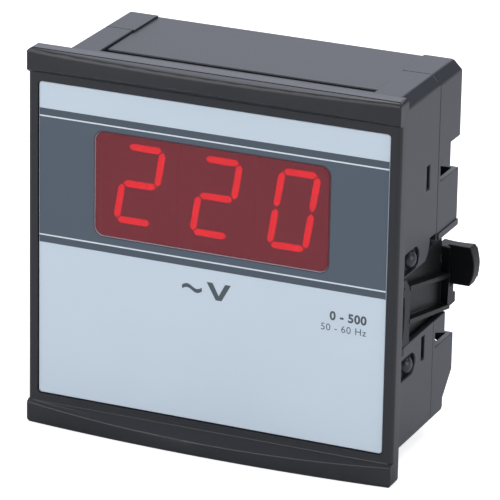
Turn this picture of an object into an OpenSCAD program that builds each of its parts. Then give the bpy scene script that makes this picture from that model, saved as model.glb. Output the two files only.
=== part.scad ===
// Digital panel meter of the 96 x 96 mm size: a snap-together black housing behind a bowed bezel,
// a three-digit LED display behind a red filter, two sliding fixing clamps and four cage terminals.
// X is right, Y goes into the panel and Z is up. Y = 0 is the bezel's rear face, the panel seat.

/* [Bezel] */
// Width and height of the square bezel
bezel_w = 96; // [94:0.5:100]
// Thickness of the bezel's frame in front of the panel
bezel_t = 4.2; // [3.8:0.1:6]
// Radius of the bezel's outer edges
bezel_edge_r = 1.2; // [0.6:0.1:1.8]
// Front of the bowed bars at mid width, before the panel
bar_mid = 7.5; // [6.5:0.1:9]
// Front of the bowed bars at their ends, before the panel
bar_end = 5; // [4.7:0.1:6]
// Height of each bar where it meets the frame
bar_h = 6; // [5:0.1:7]
// Drop of the bars' sloping shelf per millimetre of depth
shelf_slope = 0.667; // [0.3:0.01:0.9]

/* [Face] */
// Distance from the bezel's side to the face label
label_side = 2.8; // [2.5:0.1:4]
// Distance from the bezel's top or bottom to the face label
label_end = 8.2; // [7.5:0.1:10]
// Thickness of the face label
label_t = 0.8; // [0.5:0.1:1.2]
// Depth of the label's front below the frame's front
label_recess = 0.4; // [0.2:0.1:0.8]
// Width of the display window
window_w = 60.6; // [60:0.1:64]
// Height of the display window
window_h = 26.2; // [24:0.1:30]
// Distance from the label's top edge to the window
window_drop = 10.3; // [9:0.1:13]
// Corner radius of the window
window_r = 2.3; // [0.5:0.1:4]

/* [Housing] */
// How far the bezel reaches past the housing on each side
bezel_over = 3; // [2.5:0.25:3.5]
// Length of the front case behind the panel
case_len = 28; // [27:0.5:31]
// Length of the rear cover up to its main rear wall
cover_len = 8; // [7.5:0.5:12]
// How far the raised top block stands behind the main rear wall
top_block_out = 6; // [5:0.5:8]
// Wall thickness of both housing shells
wall = 2; // [1.6:0.1:2.2]
// Chamfer along the housing's four long edges
case_chamfer = 2.4; // [1:0.1:2.8]
// Distance from the housing's side to the cover's tongues
tongue_side = 9.8; // [9:0.2:15]
// Front end of the tongues behind the panel
tongue_y = 12.6; // [10:0.2:18]
// Depth of the tongues below the housing's skin
tongue_drop = 0.5; // [0.2:0.1:0.8]
// Open slot in front of each tongue
tongue_slot = 3.2; // [2:0.1:3.6]

/* [Fixing clamps] */
// Depth of the clamp channel below the housing's side
channel_depth = 4; // [3.6:0.1:4.4]
// Gap between the clamp's foot and the panel seat
foot_gap = 1.6; // [1.2:0.1:4]
// How far the thumb tab stands out of the housing's side
tab_out = 5.2; // [3:0.2:8]
// Thickness of the thumb tab
tab_t = 4.4; // [2.5:0.1:6]
// Sliding gap around the clamp
clamp_gap = 0.3; // [0.15:0.05:0.4]

/* [Terminals] */
// Height of the upper terminals above the meter's middle
term_z_up = 10.5; // [10:0.1:12]
// Height of the lower terminals above the housing's bottom
term_low = 15.4; // [14.4:0.1:16]
// Distance of the terminals from the housing's side
term_side = 5.5; // [5.2:0.1:5.8]
// Radius of the terminal screw's head
screw_head_r = 2.9; // [2.2:0.1:3]
// Radius of the terminal screw's shank
screw_r = 1.7; // [1.2:0.1:1.9]
// Gap for the wire in an open cage
wire_gap = 3; // [2.4:0.1:3.1]

/* [Display] */
// Distance between the digits
digit_pitch = 20; // [19.4:0.1:20.2]
// Height of a digit between its outer bars' middles
digit_h = 18.7; // [14:0.1:20]
// Width of a digit between its upright bars' middles
digit_w = 9.1; // [7:0.1:11]
// Width of a light bar
bar_w = 1.7; // [1:0.1:2.4]
// Sideways lean of the digits per millimetre of height
lean = 0.16; // [0:0.01:0.2]
// Depth of the light bars
bar_depth = 0.8; // [0.5:0.1:1.5]
// Depth of a digit module
module_d = 8; // [6:0.2:9]

/* [Boards] */
// Thickness of both circuit boards
board_t = 1.6; // [1:0.1:2]
// Gap between a circuit board's edge and the walls beside it
board_gap = 1.5; // [1:0.1:2]
// Width of the transformer's core
core_w = 30; // [24:1:34]
// Height of the transformer's core
core_h = 25; // [20:1:28]
// Thickness of the transformer's core
core_t = 10.5; // [8:0.5:12]

/* [Hidden] */
$fn = 48;
e = 0.01;
tongue_gap = 0.3;

half = bezel_w/2;
case_w = bezel_w - 2*bezel_over;
ch = case_w/2;
inner = ch - wall;
rear_y = case_len + cover_len;
top_block_y = rear_y + top_block_out;
tongue_w = case_w - 2*tongue_side;
label_w = bezel_w - 2*label_side;
label_h = bezel_w - 2*label_end;
window_z = label_h/2 - window_drop - window_h/2;
label_front = -(bezel_t - label_recess);
label_back = label_front + label_t;
bar_sag = bar_mid - bar_end;
bow_r = (half*half + bar_sag*bar_sag)/(2*bar_sag);

// Channel in the side between the terminals, and the clamp that slides in it
term_x = ch - term_side;
term_z_low = -ch + term_low;
channel_z = term_z_low + 12.4;
channel_h = term_z_up - 9.9 - channel_z;
floor_x = ch - channel_depth;
floor_t = 1.6;
channel_top = channel_z + channel_h;
groove_h = 1;
plate_x = floor_x + 0.6 + 0.1;
plate_t = 1.5;
groove_x0 = floor_x + 0.6 - 0.05;
groove_x1 = plate_x + plate_t + 0.25;
arch_top = channel_top + 4.8;
arch_y = case_len - 3;
arch_r = 7;
pocket_r = 2.7;
pocket_depth = 1.3;
d_pocket_z = [channel_top + 2.9, channel_z - 6];
d_pocket_back = [17.2, 16.6];
tooth_h = 0.5;
tooth_pitch = 1.6;
flange_y = rear_y + 1.6;
tab_y = rear_y + 2.6;
tab_h = channel_h - 7.8;
tab_z = channel_top - 1.6 - tab_h/2;

// Display stack, front to back
window_back = label_back + 1;
module_y = window_back + 1.2;
display_board_y = module_y + module_d;
post_xz = inner - 7;
post_r = 3.3;

// Rear cover and terminals
cover_wall = 1.6;
pocket_x0 = term_x - 4;
pocket_x1 = ch - 1.5;
pocket_wall = 1.5;
pocket_y = case_len + 1;
pocket_back = rear_y + 4.2;
shroud_y = rear_y + 5.6;
shroud1_z0 = term_z_up - 7.1;
shroud1_z1 = term_z_up + 7.6;
shroud2_z1 = term_z_low + 5.1;
notch_h = 3.8;
cage_front = pocket_y + 0.4;
cage_wall = 0.8;
cage_rear_t = 1.3;
bar_t = 0.8;
busbar_y = cage_front + cage_wall + wire_gap;
cage_rear_y = busbar_y + bar_t + 0.3;
cage_w = 6.8;
cage_h = 6;
busbar_w = 4.4;
leg_z0 = 6.2;
leg_z1 = 3.5;
screw_tip_y = busbar_y + bar_t + 0.1;
cage_travel = 2.4;
head_y = cage_rear_y + cage_rear_t + cage_travel + 0.3;
head_t = 2.4;
main_board_y = busbar_y - 0.2 - board_t;

// Boards, and the bay between them
display_board_w = 2*(floor_x - floor_t - board_gap);
main_board_w = 2*(pocket_x0 - pocket_wall - board_gap);
main_board_h = 2*(inner - 4);
hole_x = main_board_w/2 - 8;
hole_z = main_board_h/2 - 4;
bay_y = display_board_y + board_t;
bay = main_board_y - bay_y;

// ---------- helpers ----------

// Extrudes an XZ outline from y0 to y1.
module along_y(y0, y1) {
    translate([0, y1, 0]) rotate([90, 0, 0]) linear_extrude(height = y1 - y0) children();
}

// Extrudes a YZ outline from x0 to x1.
module along_x(x0, x1) {
    translate([x0, 0, 0]) rotate([90, 0, 90]) linear_extrude(height = x1 - x0) children();
}

// Block between two corners.
module block(a, b) {
    translate(a) cube([b[0] - a[0], b[1] - a[1], b[2] - a[2]]);
}

// Rectangle with round corners, centred.
module round_rect(w, h, r) {
    square([w - 2*r, h], center = true);
    square([w, h - 2*r], center = true);
    for (x = [-1, 1], z = [-1, 1]) translate([x*(w/2 - r), z*(h/2 - r)]) circle(r = r);
}

// Square with cut corners, centred.
module cut_square(w, c) {
    a = w/2;
    b = w/2 - c;
    polygon([[-b, -a], [b, -a], [a, -b], [a, b], [b, a], [-b, a], [-a, b], [-a, -b]]);
}

// Cylinder whose axis runs along Y, from y0 to y1.
module rod_y(x, z, r, y0, y1) {
    translate([x, y1, z]) rotate([90, 0, 0]) cylinder(r = r, h = y1 - y0);
}

// Same piece on both sides of the meter.
module both_sides() {
    children();
    mirror([1, 0, 0]) children();
}

// Same piece at the top and the bottom.
module top_and_bottom() {
    children();
    mirror([0, 0, 1]) children();
}

// ---------- bezel ----------

// Frame plate with round front and side edges.
module bezel_plate() {
    r = bezel_edge_r;
    a = half - r;
    along_y(-(bezel_t - r), 0) round_rect(bezel_w, bezel_w, r);
    along_y(-bezel_t, 0) square([2*a, 2*a], center = true);
    translate([0, -(bezel_t - r), 0]) {
        for (s = [-1, 1]) {
            translate([-a, 0, s*a]) rotate([0, 90, 0]) cylinder(r = r, h = 2*a);
            translate([s*a, 0, -a]) cylinder(r = r, h = 2*a);
        }
        for (x = [-1, 1], z = [-1, 1]) translate([x*a, 0, z*a]) sphere(r = r);
    }
}

// Top bar, bowed forward in plan, with a round top edge and a sloping underside.
module bezel_bar() {
    r = bezel_edge_r;
    z0 = half - bar_h;
    deep = bar_mid + 4;
    difference() {
        intersection() {
            translate([0, bow_r - bar_mid, 0]) rotate_extrude($fn = 360) {
                translate([bow_r - deep, z0]) square([deep, bar_h - r]);
                translate([bow_r - deep, z0]) square([deep - r, bar_h]);
                translate([bow_r - r, half - r]) circle(r = r);
            }
            along_y(-deep, -1) round_rect(bezel_w, bezel_w, r);
            block([-half, -deep, 0], [half, -1, half]);
        }
        along_x(-half - 1, half + 1)
            polygon([[-bezel_t, z0], [-deep - 1, z0 + shelf_slope*(deep + 1 - bezel_t)],
                     [-deep - 1, z0 - 2], [-bezel_t, z0 - 2]]);
    }
}

// Inner sleeve that centres the bezel in the front case and snaps behind its ridges.
module bezel_sleeve() {
    gap = 0.15;
    d = 5;
    w = 2*(inner - gap);
    difference() {
        union() {
            along_y(-1, d) square([w, w], center = true);
            along_x(-20, 20) for (s = [-1, 1])
                translate([d - 1.6, s*w/2]) circle(r = 0.45);
        }
        along_y(-2, d + 1) square([w - 2.4, w - 2.4], center = true);
        both_sides() block([inner - 6, 0, channel_z - 6], [half, d + 1, 12]);
        top_and_bottom() both_sides()
            block([post_xz - post_r - 0.4, 0, post_xz - post_r - 0.4], [half, d + 1, half]);
    }
}

module bezel() {
    color("#2a2a2c") difference() {
        union() {
            bezel_plate();
            top_and_bottom() bezel_bar();
            bezel_sleeve();
        }
        // Seat of the label, and the opening behind it
        along_y(-bezel_t - 20, label_back) round_rect(label_w + 0.4, label_h + 0.4, 1);
        along_y(-bezel_t, 1) square([label_w - 6, label_h - 7], center = true);
        // Fine groove where each bar stands on the frame
        top_and_bottom() block([-half - 1, -bezel_t, half - 0.25], [half + 1, -bezel_t + 0.5, half + 1]);
    }
}

// ---------- face ----------

module face_label() {
    color("#c6d3db") difference() {
        along_y(label_front, label_back) round_rect(label_w, label_h, 0.8);
        translate([0, 0, window_z])
            along_y(label_front - 1, label_back + 1) round_rect(window_w, window_h, window_r);
    }
}

module display_window() {
    gap = 0.1;
    color("#7a2a32") translate([0, 0, window_z]) {
        along_y(label_front + 0.05, label_back)
            round_rect(window_w - 2*gap, window_h - 2*gap, window_r - gap);
        along_y(label_back, window_back) round_rect(window_w + 5, window_h + 5, 1);
    }
}

// ---------- housing ----------

// Outline of the clamp channel's mouth, seen from the side.
module channel_mouth(y0, y1, top) {
    translate([y0, channel_z]) square([y1 - y0, channel_h]);
    difference() {
        translate([max(y0, arch_y - arch_r), channel_top - e])
            square([y1 - max(y0, arch_y - arch_r), top - channel_top + e]);
        translate([arch_y - arch_r, arch_top]) circle(r = arch_r - 1);
    }
}

// Space of the channel: its mouth, and the grooves that hold the clamp's plate.
module channel_space(y0, y1, top) {
    along_x(floor_x, half) channel_mouth(y0, y1, top);
    block([groove_x0, y0, channel_z - groove_h], [groove_x1, y1, channel_top + groove_h]);
}

// Row of ratchet teeth on the channel's floor.
module rack(y0, count) {
    for (i = [0 : count - 1]) translate([0, y0 + i*tooth_pitch, tab_z - 2.5])
        linear_extrude(height = 5)
            polygon([[floor_x - e, 0], [floor_x + tooth_h, tooth_pitch*0.8], [floor_x - e, tooth_pitch*0.8]]);
}

// Shallow D-shaped pocket in the side.
module d_pocket(z, back) {
    r = pocket_r;
    along_x(ch - pocket_depth, half) {
        translate([5, z - r]) square([back - 5 - r, 2*r]);
        translate([back - r, z]) circle(r = r);
    }
}

// Domed boss in a D-shaped pocket.
module domed_boss(z, back) {
    r = pocket_r - 0.3;
    foot = r - 0.6 - pocket_depth - 0.1;
    translate([ch + 0.6 - r, back - 3.6, z]) rotate([0, 90, 0]) rotate_extrude() intersection() {
        circle(r = r);
        translate([0, foot]) square([r, r]);
    }
}

module side_slot(z) {
    block([inner - 1, case_len - 7.5, z - 3.05], [half, case_len - 5.5, z + 3.05]);
}

module front_case() {
    color("#3a3b40") difference() {
        union() {
            difference() {
                along_y(0, case_len) cut_square(case_w, case_chamfer);
                along_y(-1, case_len + 1) square([2*inner, 2*inner], center = true);
            }
            // Walls of the clamp channels
            both_sides() {
                block([floor_x - floor_t, 5.6, channel_z - groove_h - 1.4], [ch - 1, case_len, arch_top + 2]);
                block([floor_x - floor_t, 0, channel_z - groove_h - 1.4],
                      [ch - 1, 5.7, channel_top + groove_h + 1.4]);
            }
            // Corner posts of the display board
            top_and_bottom() both_sides() {
                rod_y(post_xz, post_xz, post_r, 0, display_board_y);
                block([post_xz, 0, post_xz - 0.8], [ch - 1, display_board_y, post_xz + 0.8]);
                block([post_xz - 0.8, 0, post_xz], [post_xz + 0.8, display_board_y, ch - 1]);
            }
        }
        // Openings for the cover's tongues
        top_and_bottom() block([-tongue_w/2 - tongue_gap, tongue_y - tongue_slot, inner - e],
                               [tongue_w/2 + tongue_gap, case_len + 1, half]);
        both_sides() {
            channel_space(-1, case_len + 1, arch_top);
            for (i = [0, 1]) d_pocket(d_pocket_z[i], d_pocket_back[i]);
            side_slot(term_z_up + 10.9);
            side_slot(channel_z - 4.6);
        }
        // Pilot holes of the board screws
        top_and_bottom() both_sides() rod_y(post_xz, post_xz, 1.25, 2, display_board_y + 1);
        // Grooves for the bezel's snap ridges
        top_and_bottom() along_x(-20.6, 20.6) translate([3.4, inner - 0.15]) circle(r = 0.65);
    }
    color("#3a3b40") both_sides() {
        rack(case_len - 14, 8);
        domed_boss(d_pocket_z[0], d_pocket_back[0]);
        domed_boss(d_pocket_z[1], d_pocket_back[1]);
    }
}

// Outline of the cover's main body from the side.
module cover_profile() {
    c = case_len;
    polygon([[c, -ch], [rear_y - 2.7, -ch], [rear_y, -ch + 2.9], [rear_y, 26],
             [top_block_y, 26], [top_block_y, ch - 0.4], [top_block_y - 0.4, ch], [c, ch]]);
}

// Outline of the terminal shrouds from the side.
module shroud_profile() {
    c = case_len;
    translate([c, shroud1_z0]) square([shroud_y - c, shroud1_z1 - shroud1_z0]);
    polygon([[c, shroud2_z1], [shroud_y, shroud2_z1], [shroud_y, shroud2_z1 - 9.6],
             [rear_y - 2.7, -ch + case_chamfer], [c, -ch + case_chamfer]]);
}

// Wire entry over a shroud, seen from the side.
module wire_notch(z) {
    polygon([[case_len + 1.6, z], [case_len + 1.6, z + notch_h], [rear_y + 1, z + notch_h - 2.5], [rear_y + 1, z]]);
}

// Pocket that holds a terminal, seen from the side.
module pocket_profile(z, up, down) {
    polygon([[pocket_y, z + up], [pocket_back, z + up], [pocket_back, z - down + 3],
             [pocket_back - 3, z - down], [pocket_y, z - down]]);
}

module rear_cover() {
    side_gap = pocket_x0 - pocket_wall;
    front = tongue_y - tongue_slot - 1.4;
    color("#3a3b40") {
        difference() {
            union() {
                intersection() {
                    along_x(-ch, ch) cover_profile();
                    along_y(case_len, top_block_y + 1) cut_square(case_w, case_chamfer);
                }
                both_sides() along_x(side_gap, ch) shroud_profile();
            }
            // Lowered band that carries the tongues' line to the rear edge
            top_and_bottom() block([-tongue_w/2, case_len - 1, ch - tongue_drop], [tongue_w/2, half + 2, half]);
            // Inside
            block([-side_gap, case_len - 1, -inner], [side_gap, rear_y - cover_wall, inner]);
            block([-inner, case_len - 1, 28], [inner, top_block_y - wall, inner]);
            block([-inner, case_len - 1, 24.6], [inner, rear_y - cover_wall, 28.1]);
            both_sides() {
                block([side_gap - 2, case_len - 1, channel_z - 1], [floor_x - floor_t, rear_y - cover_wall, 1.8]);
                block([side_gap - 2, case_len - 1, -inner], [inner, rear_y - 3.5, term_z_low - 9.6]);
                along_x(pocket_x0, pocket_x1) pocket_profile(term_z_up, 11.4, 5.6);
                along_x(pocket_x0, pocket_x1) pocket_profile(term_z_low, 9.2, 8);
                along_x(pocket_x1 - e, half) wire_notch(shroud1_z1);
                along_x(pocket_x1 - e, half) wire_notch(shroud2_z1);
                channel_space(case_len - 1, half, shroud1_z0);
                for (z = [term_z_up, term_z_low]) {
                    rod_y(term_x, z, screw_head_r + 0.3, pocket_back - 1, half);
                    block([side_gap - 3, busbar_y - 0.2, z - leg_z0 - 0.2],
                          [term_x + busbar_w/2 + 0.2, busbar_y + bar_t + 0.2, z - leg_z1 + 0.2]);
                }
            }
            // Pilot holes of the board screws
            for (p = board_holes()) rod_y(p[0], p[1], 1.25, case_len, rear_y - 0.6);
        }
        // Tongues that reach over the front case, each with a lip under its edge
        top_and_bottom() {
            block([-tongue_w/2, tongue_y, inner - tongue_drop], [tongue_w/2, case_len + e, ch - tongue_drop]);
            block([-tongue_w/2 + 3, front, inner - 1.6], [tongue_w/2 - 3, case_len + e, inner - tongue_drop + e]);
        }
        // Bead along the foot of each upper shroud
        both_sides() block([ch - 1, case_len + 0.8, shroud1_z0], [ch + 0.3, shroud_y, shroud1_z0 + 1.6]);
        // Bosses of the main board
        for (p = board_holes()) difference() {
            rod_y(p[0], p[1], 3, main_board_y + board_t,
                  (p[1] > 0 ? top_block_y - wall : rear_y - cover_wall) + e);
            rod_y(p[0], p[1], 1.25, main_board_y, rear_y - 0.6);
        }
    }
}

// ---------- fixing clamps ----------

// Rib that slopes down to the rear.
module clamp_rib(z0, drop, y1) {
    y0 = foot_gap + 9.6;
    t = 1.1;
    along_x(plate_x + plate_t - e, ch + 0.4)
        polygon([[y0, z0], [y1, z0 - drop], [y1, z0 - drop - t], [y0, z0 - t]]);
}

module fixing_clamp() {
    g = clamp_gap;
    z0 = channel_z - groove_h + g;
    z1 = channel_top + groove_h - g;
    m0 = channel_z + g;
    m1 = channel_top - g;
    arm_y1 = foot_gap + 9.8;
    foot_h = 2.2;
    color("#1b1b1e") difference() {
        union() {
            // Plate that slides in the grooves
            block([plate_x, foot_gap + 6, z0], [plate_x + plate_t, flange_y - 0.8, z1]);
            // Front arm with its foot
            along_x(plate_x, ch + 0.3) difference() {
                polygon([[foot_gap, m0], [foot_gap, m1], [arm_y1 - 3, m1], [arm_y1, m1 - 3.2], [arm_y1, m0]]);
                intersection() {
                    translate([foot_gap + 6.3 - 25, (m0 + m1)/2]) circle(r = 25);
                    translate([0, m0 + foot_h]) square([half, m1 - m0 - 2*foot_h]);
                }
            }
            for (z = [m0, m1 - foot_h])
                block([plate_x, foot_gap, z], [half - 0.6, foot_gap + 1.4, z + foot_h]);
            // Ribs, rear flange, thumb tab and release lug
            clamp_rib(channel_top - 3, 5.4, flange_y);
            clamp_rib(channel_z + 6.3, 5, flange_y);
            block([plate_x, flange_y - 0.8, m0], [ch + 0.2, flange_y, tab_z + tab_h/2]);
            block([plate_x, flange_y - e, tab_z - tab_h/2], [ch - 0.6, tab_y, tab_z + tab_h/2]);
            block([plate_x, flange_y - e, m0], [ch, tab_y + 3.6, tab_z - tab_h/2 - 0.5]);
            intersection() {
                block([plate_x, tab_y, tab_z - tab_h/2], [ch + tab_out + 2, tab_y + tab_t, tab_z + tab_h/2]);
                rod_y(ch + tab_out - 10.2, tab_z, 11, tab_y, tab_y + tab_t);
            }
        }
        // Round relief in the flange and dished rear face of the tab
        rod_y(ch + 0.2, tab_z + 1.8, 2.4, flange_y - 2, flange_y - 0.4);
        rod_y(ch, m0 + 4.2, 1.5, tab_y + 2.2, half);
        translate([ch + 1, tab_y + tab_t + 14, tab_z]) cylinder(r = 15.2, h = tab_h + 2, center = true, $fn = 96);
    }
    // Pawl that rides on the rack
    color("#1b1b1e") translate([0, case_len - 8, tab_z - 2])
        linear_extrude(height = 4)
            polygon([[plate_x + e, 0], [floor_x + tooth_h + 0.06, tooth_pitch*0.7], [plate_x + e, tooth_pitch*1.6]]);
}

module fixing_clamp_right() { fixing_clamp(); }
module fixing_clamp_left() { mirror([1, 0, 0]) fixing_clamp(); }

// ---------- display ----------

// Leans a point of a digit to the right as it rises.
function lp(x, z) = [x + lean*z, z];

// Light bar lying flat at height z.
module bar_flat(z) {
    a = digit_w/2 - 0.25;
    t = bar_w/2;
    polygon([lp(-a, z), lp(-a + t, z + t), lp(a - t, z + t), lp(a, z), lp(a - t, z - t), lp(-a + t, z - t)]);
}

// Upright light bar at x between z0 and z1.
module bar_upright(x, z0, z1) {
    t = bar_w/2;
    g = 0.25;
    polygon([lp(x, z0 + g), lp(x + t, z0 + g + t), lp(x + t, z1 - g - t),
             lp(x, z1 - g), lp(x - t, z1 - g - t), lp(x - t, z0 + g + t)]);
}

// The bars of one digit whose letters are named: top, sides, middle and bottom.
module bars(names) {
    w = digit_w/2;
    h = digit_h/2;
    for (n = names) {
        if (n == "a") bar_flat(h);
        if (n == "g") bar_flat(0);
        if (n == "d") bar_flat(-h);
        if (n == "b") bar_upright(w, 0, h);
        if (n == "c") bar_upright(w, -h, 0);
        if (n == "e") bar_upright(-w, -h, 0);
        if (n == "f") bar_upright(-w, 0, h);
    }
}

ALL_BARS = ["a", "b", "c", "d", "e", "f", "g"];
TWO = ["a", "b", "g", "e", "d"];
ZERO = ["a", "b", "c", "d", "e", "f"];

module digit(i) {
    color("#3c2022") translate([i*digit_pitch, 0, window_z]) difference() {
        along_y(module_y, display_board_y) round_rect(19.2, 27.2, 0.6);
        along_y(module_y - 1, module_y + bar_depth) bars(ALL_BARS);
        // Hollow underside, open to the board
        along_y(module_y + 3, display_board_y + 1) square([16.4, 24.4], center = true);
    }
}

module lit(i, names) {
    color("#ff2a2a") translate([i*digit_pitch, 0, window_z]) along_y(module_y, module_y + bar_depth) bars(names);
}

module digit_left() { digit(-1); }
module digit_middle() { digit(0); }
module digit_right() { digit(1); }
module lit_bars_left() { lit(-1, TWO); }
module lit_bars_middle() { lit(0, TWO); }
module lit_bars_right() { lit(1, ZERO); }

module unlit_bars() {
    color("#5a2c30") for (i = [-1, 0, 1])
        translate([i*digit_pitch, 0, window_z])
            along_y(module_y, module_y + bar_depth) bars(i == 1 ? ["g"] : ["c", "f"]);
}

module display_board() {
    w = display_board_w/2;
    color("#2f6b3a") difference() {
        along_y(display_board_y, display_board_y + board_t) cut_square(2*(post_xz + 4), 1.2);
        both_sides() block([w, display_board_y - 1, channel_z - 4], [half, display_board_y + board_t + 1, arch_top + 4]);
        top_and_bottom() both_sides() rod_y(post_xz, post_xz, 1.7, 0, display_board_y + board_t + 1);
    }
}

// Screw along Y with a domed head, its cross cut left to the finish.
module board_screw(x, z, head, point) {
    d = head < point ? 1 : -1;
    y0 = min(head, point);
    y1 = max(head, point);
    rod_y(x, z, 1.2, y0, y1);
    rod_y(x, z, 2.7, d > 0 ? head - 1.9 : head, d > 0 ? head : head + 1.9);
}

module display_board_screws() {
    y = display_board_y + board_t;
    color("#b9bcc0") top_and_bottom() both_sides() board_screw(post_xz, post_xz, y, y - 6.5);
}

module microcontroller() {
    y = display_board_y + board_t;
    color("#1c1c1e") translate([-8, 0, -18]) {
        difference() {
            block([-17.5, y + 0.6, -3.6], [17.5, y + 4, 3.6]);
            rod_y(-17.5, 0, 1.2, y + 3, y + 5);
        }
        for (i = [0 : 13], s = [-1, 1])
            block([-16.75 + 2.54*i, y, s*3.8 - 0.3], [-16.05 + 2.54*i, y + 2.2, s*3.8 + 0.3]);
    }
}

// ---------- boards and their parts ----------

cable_x = main_board_w/2 - 10.5;
cable_z = 4;
cable_w = 12;
conn_h = 5;
cable_t = 0.9;
cable_y0 = bay_y + conn_h;
cable_y1 = main_board_y - conn_h;

module connector(y0, y1) {
    color("#d8d4c8") translate([cable_x, 0, cable_z])
        block([-2.6, y0, -cable_w/2 - 1.2], [2.6, y1, cable_w/2 + 1.2]);
}

module display_connector() { connector(display_board_y + board_t, cable_y0); }
module main_connector() { connector(cable_y1, main_board_y); }

module ribbon_cable() {
    l = cable_y1 - cable_y0;
    s = 2.2;
    r = (l*l/4 + s*s)/(2*s);
    color("#9aa0a6") intersection() {
        translate([cable_x + r - s, (cable_y0 + cable_y1)/2, cable_z - cable_w/2]) difference() {
            cylinder(r = r + cable_t/2, h = cable_w, $fn = 96);
            translate([0, 0, -1]) cylinder(r = r - cable_t/2, h = cable_w + 2, $fn = 96);
        }
        block([cable_x - 6, cable_y0, -half], [cable_x + 6, cable_y1, half]);
    }
}

function board_holes() = [[-hole_x, hole_z], [hole_x, hole_z], [-hole_x, -hole_z], [hole_x, -hole_z]];

module main_board() {
    y = main_board_y;
    color("#2f6b3a") difference() {
        block([-main_board_w/2, y, -main_board_h/2], [main_board_w/2, y + board_t, main_board_h/2]);
        for (p = board_holes()) rod_y(p[0], p[1], 1.7, y - 1, y + board_t + 1);
        both_sides() for (z = [term_z_up, term_z_low])
            rod_y(main_board_w/2 - 1.6, z - 4.9, 0.9, y - 1, y + board_t + 1);
    }
}

module main_board_screws() {
    color("#b9bcc0") for (p = board_holes())
        board_screw(p[0], p[1], main_board_y, rear_y - 1);
}

// The transformer fills the bay, its coil clear of both boards
coil_half = (bay - 1.8)/2;
tr_x = core_w/2 + 1.5 - hole_x;
tr_y = main_board_y - 0.6 - coil_half;
tr_z = hole_z - core_h/2 - 2.5;
leg_half = core_w/6;
opening_h = core_h - 10;

module transformer_core() {
    color("#6a6c70") translate([tr_x, 0, tr_z]) difference() {
        along_y(tr_y - core_t/2, tr_y + core_t/2) square([core_w, core_h], center = true);
        for (s = [-1, 1]) translate([s*core_w/4, 0, 0])
            along_y(tr_y - core_t, tr_y + core_t) square([leg_half, opening_h], center = true);
    }
}

module transformer_bobbin() {
    g = 0.15;
    w = 2*leg_half - 0.2;
    color("#e6e0d0") translate([tr_x, 0, tr_z]) {
        difference() {
            union() {
                block([-leg_half - 0.9, tr_y - core_t/2 - 1, -opening_h/2 + 0.2],
                      [leg_half + 0.9, tr_y + core_t/2 + 1, opening_h/2 - 0.2]);
                for (s = [-1, 1]) translate([0, 0, s*(opening_h/2 - 0.7)])
                    block([-w, tr_y - coil_half, -0.5], [w, tr_y + coil_half, 0.5]);
            }
            block([-leg_half - g, tr_y - core_t/2 - g, -core_h], [leg_half + g, tr_y + core_t/2 + g, core_h]);
        }
        for (s = [-1, 1]) translate([0, 0, s*(core_h/2 - 1.9)])
            block([-core_w/2 + 3, tr_y + core_t/2 + 0.1, -1.8], [core_w/2 - 3, main_board_y, 1.8]);
        for (s = [-1, 1]) translate([0, 0, s*(opening_h/2 + 0.5)])
            block([-w, tr_y + core_t/2 + 0.2, -1.2], [w, tr_y + coil_half, 1.2]);
    }
}

module transformer_winding() {
    h = opening_h - 2.6;
    color("#e0c060") translate([tr_x, 0, tr_z - h/2]) linear_extrude(height = h)
        translate([0, tr_y]) difference() {
            round_rect(4*leg_half - 1, 2*coil_half - 0.8, 2.5);
            square([2*leg_half + 1.9, core_t + 2.1], center = true);
        }
}

// Radial can with a rolled bead near its foot.
module filter_capacitor() {
    r = 5;
    h = 16;
    color("#23304a") translate([main_board_w/2 - 12.5, main_board_y, -22]) rotate([90, 0, 0]) rotate_extrude() difference() {
        polygon([[0, 0], [r - 0.4, 0], [r, 0.4], [r, h - 0.6], [r - 0.6, h], [0, h]]);
        translate([r + 0.3, 2]) circle(r = 0.8);
    }
}

module film_capacitor() {
    color("#c9b43a") translate([2, 0, 5 - main_board_h/2])
        along_y(main_board_y - 11.5, main_board_y) round_rect(15, 6, 0.8);
}

module bridge_rectifier() {
    color("#1c1c1e") translate([18, 0, -9]) difference() {
        along_y(main_board_y - 3.4, main_board_y) square([8.4, 6.4], center = true);
        rod_y(-4.2, 3.2, 1, main_board_y - 4, main_board_y + 1);
    }
}

module voltage_regulator() {
    color("#4a4c50") translate([8.5 - main_board_w/2, 0, -20]) difference() {
        union() {
            block([-5.1, main_board_y - 4.5, -7], [5.1, main_board_y, 2]);
            block([-5.1, main_board_y - 1.3, 2], [5.1, main_board_y, 8.4]);
        }
        rod_y(0, 5.6, 1.8, main_board_y - 3, main_board_y + 1);
    }
}

module varistor() {
    color("#2f5fa8") translate([8.5 - main_board_w/2, 0, 0]) {
        translate([0, main_board_y - 6.2, 0]) cylinder(r = 5, h = 3.4, center = true);
        block([-2.5, main_board_y - 2.2, -1], [2.5, main_board_y, 1]);
    }
}

module input_resistors() {
    color("#d9c7a0") for (i = [0 : 3]) translate([-8 + 4.5*i, main_board_y - 1.7, -14])
        rotate_extrude() polygon([[0, -4.5], [1.7, -4.2], [1.7, -2.6], [1.35, -2.2],
            [1.35, 2.2], [1.7, 2.6], [1.7, 4.2], [0, 4.5]]);
}

trim_x = 6;
trim_z = tr_z - core_h/2 - 5.5;
trim_h = 4.6;

module trimmer_body() {
    color("#2f5fa8") translate([trim_x, 0, trim_z]) difference() {
        along_y(main_board_y - trim_h, main_board_y) round_rect(7, 7, 0.5);
        rod_y(0, 0, 2.6, main_board_y - trim_h - 1, main_board_y - trim_h + 1.6);
    }
}

module trimmer_rotor() {
    y = main_board_y - trim_h + 1.55;
    color("#e6e6e2") translate([trim_x, 0, trim_z]) difference() {
        rod_y(0, 0, 2.25, y - 1.8, y);
        block([-1.6, y - 2.4, -0.35], [1.6, y - 1.1, 0.35]);
    }
}

// ---------- terminals ----------

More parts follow.
